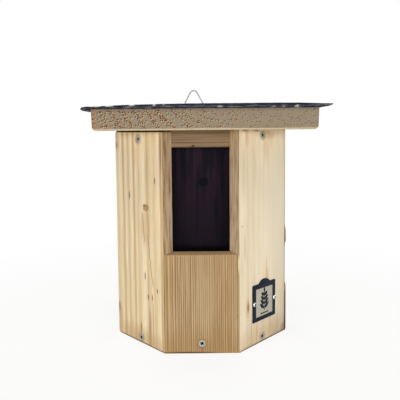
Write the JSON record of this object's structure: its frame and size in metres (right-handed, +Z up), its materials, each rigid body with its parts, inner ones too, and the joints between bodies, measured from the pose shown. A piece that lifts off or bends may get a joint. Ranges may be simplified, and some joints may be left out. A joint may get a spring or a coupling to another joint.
{
  "type": "half-open nest box",
  "caption": "Half-open nest box: mitred front and angled side boards on a back board, low front panel, sloping board roof under a slate, wire hanging loop.",
  "frame": {"origin": "centre of the underside, half way between the front panel's face and the back board's rear face", "axes": "+X to the right seen from the front, the open front faces -Y, +Z up"},
  "size_m": [0.2595, 0.1278, 0.3166],
  "materials": {
    "panel_wood": "planed, untreated, fine straight grain",
    "side_wood": "planed, untreated",
    "back_wood": "planed, untreated, dark stain inside the box",
    "plate_wood": "planed, untreated",
    "roof_wood": "sawn end grain, planed faces",
    "slate": "riven, chipped edges",
    "galvanised_wire": "galvanised, dull",
    "plate_enamel": "satin enamel, navy frame round a pale field with a plain leaf sprig"
  },
  "bodies": {
    "root": {"front_panel": "panel_wood", "left_wall": "side_wood", "right_wall": "side_wood", "back_board": "back_wood", "floor_plate": "plate_wood", "ceiling_plate": "plate_wood", "roof_board": "roof_wood", "roof_slate": "slate", "hanger_wire": "galvanised_wire", "left_staple": "galvanised_wire", "right_staple": "galvanised_wire", "name_plate": "plate_enamel"}
  },
  "joints": []
}
